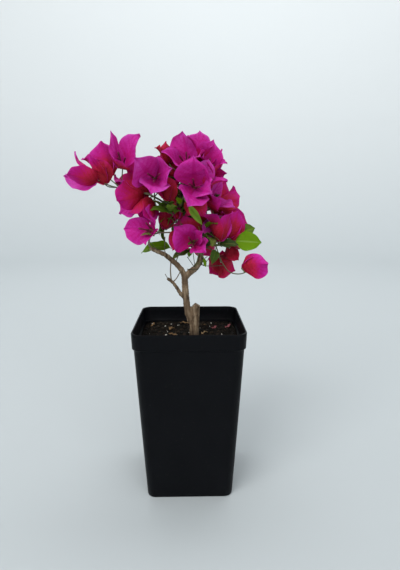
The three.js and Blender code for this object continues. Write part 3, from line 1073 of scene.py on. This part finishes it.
# The inner foliage: which limb it grows from, at what share, which way, and how long.
LEAFY_TWIGS = [
    ("bough_upper", 0.15, (60, 20), 15), ("bough_upper", 0.30, (150, 25), 14),
    ("bough_upper", 0.45, (20, 20), 15), ("bough_upper", 0.55, (80, 25), 14),
    ("bough_upper", 0.60, (-150, -15), 10), ("bough_upper", 0.80, (40, 30), 15),
    ("bough_upper", 0.92, (110, 40), 14), ("bough_right", 0.80, (70, 10), 15),
    ("bough_right", 0.93, (-40, 25), 14), ("bough_right", 0.70, (110, 10), 12),
]


def make_inner_foliage():
    for number, (node, share, (azimuth, elevation), length) in enumerate(LEAFY_TWIGS):
        random = seeded(f"leafy twig {number}")
        grow_twig(random, limb_point(node, share), direction(azimuth, elevation), length * MM, 1)


# Leaves that stand out: the limb and share of its length or the hub that each grows from, the
# heading and reach in mm of its node, its way as azimuth and elevation, length in mm, colour,
# breadth, fold, droop and where the upper side looks.
SINGLE_LEAVES = [
    ("lime leaf", ("right leaf twig", 1), (-60, -40, 3), (-10, -2), 24, LIME, 0.78, 12, 22, (-85, 20)),
    ("lime leaf behind", ("right leaf twig", 1), (60, 20, 7), (0, 20), 19, BRIGHT, 0.80, 16, 20, (-90, 35)),
    ("left bough leaf", ("bough_left", 0.35), (60, 75, 13), (182, 12), 32, LIME, 0.42, 24, 60, (-90, 50)),
    ("curled leaf", ("centre cyme", 1), (-85, -30, 18), (-25, -50), 20, PALE, 0.46, 50, 50, (-120, 30)),
    ("small leaf", ("centre cyme", 1), (-110, -50, 16), (-100, 40), 10, BRIGHT, 0.55, 25, 20, (-100, 60)),
    ("leaf under left cyme", ("left cyme", 1), (-120, -50, 4), (-160, 5), 8, MID, 0.50, 20, 30, (-95, 50)),
    ("leaf by left cyme", ("left cyme", 1), (-40, -65, 13), (0, 5), 14, MID, 0.55, 15, 20, (-90, 40)),
    ("leaf above crimson", ("inner cyme", 1), (170, 65, 12), (10, 5), 16, MID, 0.42, 30, 30, (-90, 50)),
    ("upright leaf right", ("low right cyme", 1), (-20, 20, 5), (30, 62), 16, LIME, 0.36, 30, 18, (-80, 20)),
    ("dark leaf 1", ("low right cyme", 1), (-90, 20, 3), (-30, 12), 17, DARK, 0.55, 16, 30, (-80, 40)),
    ("dark leaf 2", ("low right cyme", 1), (180, 10, 3), (-150, 20), 15, DARK, 0.60, 20, 30, (-80, 30)),
    ("dark leaf 3", ("low right cyme", 1), (-90, -30, 3), (-100, -30), 16, MID, 0.55, 24, 30, (-60, 50)),
    ("dark leaf 4", ("low right cyme", 1), (60, 20, 4), (60, 30), 16, MID, 0.60, 16, 30, (-90, 60)),
    ("fan leaf", ("front cyme", 1), (0, -60, 4), (-60, 60), 10, PALE, 0.36, 20, 20, (-90, 20)),
    ("hanging leaf", ("front cyme", 1), (-10, -40, 10), (-20, -70), 8, LIME, 0.40, 20, 10, (-90, 0)),
    ("shoot leaf", ("shoot_left", 0.40), (-100, -40, 2), (-165, 20), 10, OLIVE, 0.36, 30, 50, (-90, 60)),
    ("right middle leaf", ("right cyme", 1), (-60, -50, 8), (-50, -25), 12, OLIVE, 0.55, 20, 30, (-80, 50)),
    ("right upper leaf", ("right cyme", 1), (-100, 40, 6), (-60, 45), 12, MID, 0.55, 20, 30, (-80, 50)),
]


def make_single_leaves():
    for name, (parent, share), heading, way, length, mark, breadth, fold, droop, top in SINGLE_LEAVES:
        start = anchor(parent, share)
        node = grown_from(start, heading)
        way = direction(*way)
        path = arc(start, unit(node - start + 0.3 * MM * UP), node, way, 6)
        add_stem(path, 0.45 * MM, 0.4 * MM, GREEN_STEM)
        add_leaf(seeded(name), node, way, length * MM, mark, fold, droop, breadth, top=direction(*top))


# ---- blooms ------------------------------

BRACT_LENGTH = 32 * MM
BRACT_BREADTH = 0.92
BRACT_ROWS = 34
BRACT_COLUMNS = 16
BRACT_THICKNESS = 0.26 * MM
HEEL_LEAN = 55  # degrees by which a bract leans further out at its foot
HEEL_SHARE = 0.12
WAIST_LEAN = 12
TIP_LEAN = 28
SECTOR = 78  # degrees to each side that a bract may take round the bloom's axis
OVERLAP = 0.14  # share by which a bract stands further out at one side and in at the other
HEEL_OUT = 0.6 * MM  # distance of a bract's foot from the bloom's axis
VEIN_PAIRS = 6.5
VEIN_SLANT = 0.36
CREASES = 5
# The relief and sway of a bract, as shares of its length.
EDGE_WAVE = 0.045
VEIN_HEIGHT = 0.013
MIDRIB_DEPTH = 0.011
CREASE_DEPTH = 0.015
HEEL_ROLL = 0.11
TIP_SWAY = 0.06


def vein_wave(t, u):
    """Rises to 1 along the side veins, which slant from the middle of a bract to its margins."""
    return np.cos(2 * np.pi * VEIN_PAIRS * (t - VEIN_SLANT * np.abs(u) ** 0.9))


def bract_grid(random, length, opening, breadth):
    """A bract round +Z: it leaves the foot to +X, bellies out, rises and turns out at its tip."""
    t, u = grid_lines(BRACT_ROWS, BRACT_COLUMNS)
    lean = opening + HEEL_LEAN * np.exp(-t / HEEL_SHARE) - WAIST_LEAN * np.sin(np.pi * t)
    loose = min(1, opening / 30)
    curl = TIP_LEAN * t ** 3 * (1 + loose * random.uniform(-0.7, 0.7))
    lean = np.radians(lean + curl + loose * random.normal(0, 3))
    step = length / BRACT_ROWS
    middle = (lean[1:] + lean[:-1]) / 2
    out = running_sum(np.sin(middle)) * step + HEEL_OUT
    up = running_sum(np.cos(middle)) * step
    half = np.clip(t, 0.004, 1) ** 0.45 * np.clip(1 - t, 0.004, 1) ** 0.78
    half = half / half.max() * (1 - 0.55 * smooth_step(0.78, 0.96, t)) * breadth / 2 * length
    curve = 0.75 / (out + 3.2 * MM) * (1 - 0.55 * t)
    keel = smooth_step(0.55, 1.0, t) * random.uniform(0.3, 1.2)
    spread = half[:, None] * u
    bent = spread * curve[:, None]
    side = np.sin(bent) / curve[:, None]
    inward = (1 - np.cos(bent)) / curve[:, None] + keel[:, None] * np.abs(spread) * 0.6
    t2 = t[:, None]
    phase = random.uniform(0, 2 * np.pi, 2)
    waves = np.where(u < 0, np.sin(2 * np.pi * 1.7 * t2 + phase[0]), np.sin(2 * np.pi * 2.1 * t2 + phase[1]))
    inward = inward + EDGE_WAVE * loose * length * np.abs(u) ** 2.5 * waves * np.sin(np.pi * t2) ** 0.5
    veins = vein_wave(t2, u) * np.abs(u) ** 0.4 * (1 - u ** 4)
    inward = inward + VEIN_HEIGHT * length * veins * (1 - 0.5 * t2)
    inward = inward - MIDRIB_DEPTH * length * np.exp(-((u / 0.07) ** 2))
    for _ in range(CREASES):
        wave = random.normal(0, 1, 2) * (7, 3)
        crease = np.sin(wave[0] * t2 + wave[1] * u + random.uniform(0, 6))
        inward = inward + CREASE_DEPTH * length * crease * t2 ** 0.5
    back = HEEL_ROLL * length * np.abs(u) ** 2 * np.exp(-t2 / 0.12)
    along_out, along_up = np.sin(lean)[:, None], np.cos(lean)[:, None]
    x = out[:, None] - along_up * inward - along_out * back
    z = up[:, None] + along_out * inward - along_up * back
    twist = math.radians(random.normal(0, 7)) * t2
    drift = TIP_SWAY * length * random.normal() * t2 ** 2
    y = side * np.cos(twist) + drift
    z = z + side * np.sin(twist)
    reach = np.hypot(x, y)
    angle = np.degrees(np.arctan2(y, x))
    near = 0.72 * SECTOR
    room = SECTOR - near
    squeezed = near + room * (1 - np.exp(-(np.abs(angle) - near) / room))
    held = np.where(np.abs(angle) > near, np.sign(angle) * squeezed, angle)
    reach = reach * (1 + OVERLAP * held / 60)
    held = np.radians(held)
    return np.stack((reach * np.cos(held), reach * np.sin(held), z), axis=2)


def bract_marks(random, hue):
    """Finish steps of a bract's faces: crimson at the heel outside, partly painted shade, and magenta inside
    and at the tip, where the palest steps are a painted highlight.
    """
    t = (np.arange(BRACT_ROWS) + 0.5)[:, None] / BRACT_ROWS
    u = np.abs(np.linspace(-1, 1, BRACT_COLUMNS * 2 + 1)[1::2])
    hue = hue + random.normal(0, 0.025)
    drift = 0.03 * np.sin(9 * t + random.uniform(0, 6)) + 0.03 * np.sin(5 * u + random.uniform(0, 6))
    # Painted shade: faces along the side veins and the midrib get a darker step, standing in for the shading
    # of their relief.
    drift = drift - 0.08 * ((vein_wave(t, u) > 0.55) | (u < 0.1)) * (1 - u ** 4)
    # Painted light: the outside's crimson heel is partly painted shade, and the inside climbs to the
    # painted-highlight steps at the tip.
    inside = 0.52 + 0.28 * t ** 0.8 + 0.05 * u ** 2 + drift + hue
    outside = 0.05 + 0.55 * smooth_step(0.10, 0.95, t + 0.12 * u ** 2) + drift + hue
    sides = [
        np.clip(side * BRACT_STEPS, 0, BRACT_STEPS - 1).astype(int).ravel()
        for side in (inside, outside)
    ]
    rim = np.full(len(shell_faces(BRACT_ROWS, BRACT_COLUMNS)[2]), int(np.median(sides[0])))
    return np.concatenate((*sides, rim))


def bloom_axes(facing, spin):
    """Rows: towards the first bract, across it, and the way the bloom faces. Spin turns from straight up."""
    lift = unit(UP - facing[2] * facing)
    first, _ = turned(lift, np.cross(facing, lift), math.radians(spin))
    return np.stack((first, np.cross(facing, first), facing))


# The blooms by their spray and the hub their stalks spring from. Each has its stalk's heading
# and reach in mm, the way it faces as azimuth and elevation, its spin, its size, how far it is
# open in degrees and its shift towards magenta.
BLOOMS = {
    ("far_left_spray", "far left end"): [
        ("left tip", (-170, 10, 2), (-175, 20), 5, 1.00, 22, 0.12),
    ],
    ("far_left_spray", "far left cyme"): [
        ("left second", (180, 42, 14), (150, 55), 100, 1.04, 24, 0.14),
        ("left crimson", (185, 15, 14), (150, 65), 60, 0.72, 18, -0.14),
        ("left third", (0, 85, 18), (-85, 45), 28, 0.92, 30, 0.08),
    ],
    ("left_spray", "left cyme"): [
        ("left main", (170, 20, 10), (-170, -15), 20, 1.00, 35, 0.06),
        ("left under", (-160, -10, 4), (-150, -60), 0, 0.80, 30, -0.04),
        ("left back", (135, 20, 10), (140, 20), 30, 0.95, 40, 0.00),
    ],
    ("upper_left_spray", "left cyme"): [
        ("upper left", (-80, 60, 18), (-90, 8), 50, 0.98, 36, 0.14),
        ("upper left behind", (20, 45, 24), (100, 65), 0, 0.84, 30, -0.14),
        ("upper left low", (-45, -10, 19), (65, 78), 0, 0.70, 16, -0.16),
    ],
    ("top_spray", "top cyme"): [
        ("top bud", (-165, 38, 17), (130, 60), 0, 0.62, 16, -0.28),
        ("top first", (0, 70, 8), (-100, 45), -5, 0.95, 32, 0.08),
        ("top second", (25, 40, 20), (-80, 70), 0, 0.90, 26, 0.10),
    ],
    ("top_right_spray", "top right cyme"): [
        ("top right main", (10, 40, 12), (-70, 50), -14, 1.04, 24, 0.00),
        ("top right tip", (55, 55, 15), (-5, 10), 0, 0.90, 26, 0.10),
        ("top right low", (-60, -60, 13), (70, 75), 0, 0.72, 26, -0.08),
    ],
    ("centre_spray", "centre cyme"): [
        ("centre main", (-50, 10, 14), (-90, 10), -15, 0.94, 34, 0.03),
        ("centre right", (-20, 15, 16), (-35, 45), -30, 0.75, 30, 0.06),
        ("centre under", (-50, -10, 10), (40, -60), 0, 0.75, 30, -0.14),
    ],
    ("right_spray", "right cyme"): [
        ("right first", (-130, 35, 7), (-45, 30), -20, 0.82, 32, 0.08),
        ("right back", (115, 35, 14), (95, 15), 30, 0.90, 32, 0.00),
    ],
    ("right_shoulder_spray", "shoulder cyme"): [
        ("shoulder main", (-60, -5, 11), (85, 75), 185, 1.00, 24, 0.06),
        ("shoulder inner", (165, 30, 12), (140, 40), 0, 0.85, 35, -0.04),
        ("shoulder right", (0, 5, 15), (60, 65), 170, 0.84, 20, 0.04),
    ],
    ("low_left_spray", "low left cyme"): [
        ("low left", (-170, 15, 6), (-130, 15), -25, 0.80, 42, 0.04),
    ],
    ("inner_left_spray", "inner cyme"): [
        ("inner crimson", (190, -35, 10), (110, 70), 0, 0.60, 20, -0.18),
        ("inner bud", (-45, 40, 5), (110, 70), 0, 0.36, 8, 0.06),
    ],
    ("front_spray", "front cyme"): [
        ("front star", (-100, 40, 9), (-95, 15), 55, 0.88, 36, -0.02),
        ("front left", (165, 55, 20), (120, -50), 0, 0.62, 25, -0.14),
    ],
    ("low_right_spray", "right leaf twig"): [
        ("low right bud", (-30, -30, 4), (20, 40), 0, 0.36, 8, -0.18),
    ],
    ("low_right_spray", "low right cyme"): [
        ("low right second", (20, -10, 14), (60, -30), 10, 0.46, 34, -0.20),
        ("low right main", (45, -65, 17), (80, -25), 0, 0.70, 36, -0.08),
    ],
    ("far_right_spray", "far right end"): [
        ("far right", (150, 60, 5), (5, 20), 90, 0.80, 28, 0.16),
    ],
    ("back_top_spray", "back top cyme"): [
        ("back top first", (50, 35, 12), (95, 45), 0, 1.08, 40, 0.04),
        ("back top second", (150, 20, 10), (140, 25), 20, 0.98, 35, 0.00),
    ],
    ("back_top_spray", "left cyme"): [
        ("back top third", (95, 50, 20), (155, 25), 40, 0.90, 35, 0.04),
    ],
    ("back_right_spray", "back right cyme"): [
        ("back right first", (20, 5, 14), (45, 10), 10, 1.05, 40, 0.02),
        ("back right second", (60, 55, 16), (70, 20), 50, 0.98, 35, -0.02),
    ],
    ("back_centre_spray", "back centre cyme"): [
        ("back centre", (60, 35, 10), (110, 0), 0, 1.05, 40, 0.05),
    ],
    ("back_low_spray", "back low cyme"): [
        ("back low", (80, 25, 8), (85, -20), 30, 1.02, 35, -0.02),
    ],
}

bract_finishes = bract_materials()
spray_bracts = {}
flowers = Patchwork(flower_materials())
TUBE_SIDES = 10
TUBE_RIBS = 5
RIB_DEPTH = 0.14
FLOWER_SHARE = 0.46  # a flower's length as a share of its bract's
FLOWER_LEAN = 0.42  # how far a flower leans out as a share of its bloom's opening
BUD_SIZE = 0.5  # blooms up to this size show no flowers
STALK_RADIUS = 0.5 * MM


def add_flower(random, foot, axes, lean, length):
    """A slender closed tube that leans out inside its bract."""
    tangent = math.radians(lean)
    way = np.array((math.sin(tangent), random.normal(0, 0.05), math.cos(tangent)))
    bend = np.array((math.sin(tangent * 1.5), 0, math.cos(tangent * 1.5)))
    start = np.array((0.9, 0, 1.2)) * MM
    path = arc(start, unit(way), start + length * unit(way + bend), unit(bend), 12)
    t = np.linspace(0, 1, len(path))
    radii = 0.62 + 0.34 * np.exp(-(((t - 0.24) / 0.16) ** 2)) + 0.36 * smooth_step(0.72, 0.94, t)
    radii = radii * (1 - 0.75 * smooth_step(0.9, 1.0, t))
    points, faces = tube(path, radii * MM, TUBE_SIDES, TUBE_RIBS, RIB_DEPTH)
    marks = np.where(t[:-1] < 0.12, TUBE_GREEN, np.where(t[:-1] < 0.8, TUBE_DARK, TUBE_RED))
    marks = np.concatenate((np.repeat(marks, TUBE_SIDES), (TUBE_GREEN, TUBE_RED)))
    flowers.add(points @ axes + foot, faces, marks)


# Bracts that differ from their bloom's even three: the factors on their length and breadth, and
# by how many degrees they are turned round the bloom and lean out further.
SHAPED = {
    "left tip": ((1.0, 0.6), (1.1, 0.8), (0.9, 0.75)),
    "left third": ((1.1, 0.38, 10), (0.75, 1.0), (1.1, 0.85, 45)),
    "upper left": ((0.95, 1.25), (0.9, 1.2, 0, -5), (0.9, 1.1)),
    "centre main": ((1.0, 1.2, 10), (1.1, 1.0, 50), (0.9, 1.0, 10)),
    "front star": ((1.0, 1.15), (0.85, 0.9, 55), (0.85, 0.6, 10, -5)),
    "far right": ((1.0, 1.2), (0.75, 1.0, 0, -10), (0.72, 1.0, 0, -12)),
    "left second": ((0.9, 1.0), (0.9, 1.1), (0.95, 1.4)),
    "low left": ((1.1, 0.45), (1.05, 1.1), (0.8, 1.0, -10)),
    "top second": ((1.0, 1.1), (), (0.7, 0.8)),
    "top right main": ((1.0, 1.15), (0.8, 1.0), (0.8, 1.0)),
    "shoulder main": ((1.0, 1.1), (0.9, 1.0), (0.9, 1.0)),
    "top right tip": ((1.0, 0.7), (0.9, 0.55), (0.8, 0.6)),
    "low right main": ((1.0, 1.2), (0.95, 1.3), (0.95, 1.3)),
    "right first": ((1.0, 0.7), (), (1.0, 0.8)),
}
EVEN = ((), (), ())


def add_bract(piece, random, foot, axes, turn, size, opening, hue,
              longer=1.0, broader=1.0, turned_by=0, leaning=0):
    """A bract at a turn in degrees round its bloom, changed by what SHAPED says of it."""
    turn = math.radians(turn + turned_by + random.normal(0, 3))
    spun = np.stack((*turned(axes[0], axes[1], turn), axes[2]))
    grid = bract_grid(random, BRACT_LENGTH * size * longer, opening + leaning, BRACT_BREADTH * broader)
    piece.add_shell(grid @ spun + foot, BRACT_THICKNESS, bract_marks(random, hue))


def add_bloom(piece, hub, name, stalk, faces, spin, size, opening, hue):
    facing = direction(*faces)
    foot = grown_from(hub, stalk)
    axes = bloom_axes(facing, spin)
    random = seeded(name)
    for third, shape in enumerate(SHAPED.get(name, EVEN)):
        add_bract(piece, random, foot, axes, 120 * third, size, opening, hue, *shape)
    random = seeded(name + " flowers")
    if size > BUD_SIZE:
        for third in range(3):
            axes = bloom_axes(facing, spin + 120 * third + random.normal(0, 12))
            length = FLOWER_SHARE * BRACT_LENGTH * size * random.uniform(0.9, 1.1)
            add_flower(random, foot, axes, opening * FLOWER_LEAN, length)
    add_bloom_stalk(random, hub, foot, facing, size)


def make_blooms():
    for (spray, hub), blooms in BLOOMS.items():
        piece = spray_bracts.setdefault(spray, Patchwork(bract_finishes))
        for bloom in blooms:
            add_bloom(piece, hub_at[hub], *bloom)


def add_bloom_stalk(random, start, foot, facing, size):
    """The stalk from a spray's hub that runs into a bloom's foot from behind."""
    leaving = unit(unit(foot - start) + 0.35 * UP + random.normal(0, 0.12, 3))
    path = arc(start, leaving, foot - facing * 0.3 * MM, facing, 12, pull=0.9)
    mark = random.choice((OLIVE_STEM, DARK_STEM, GREEN_STEM))
    add_stem(path, STALK_RADIUS, (0.42 + 0.1 * size) * MM, mark)


# ---- assembly ----------------------------

make_camera()
make_stage()
make_light()
make_pot()
make_soil()
make_soil_cover()
make_wood()
make_green_stems()
make_hubs()
make_fine_twigs()
make_inner_foliage()
make_single_leaves()
make_blooms()
for spray_name, bracts in spray_bracts.items():
    bracts.make(f"{spray_name}_bracts", "bract_magenta", spray_name)
leaves.make("green_leaves", "leaf_green", "core_leaves", "right_leaves", "low_left_leaves")
stems.make("twigs_and_stalks", "green_stem", "shoot_left", "stalk_far_left", "twig_far_right")
flowers.make("flower_tubes", "bract_magenta")
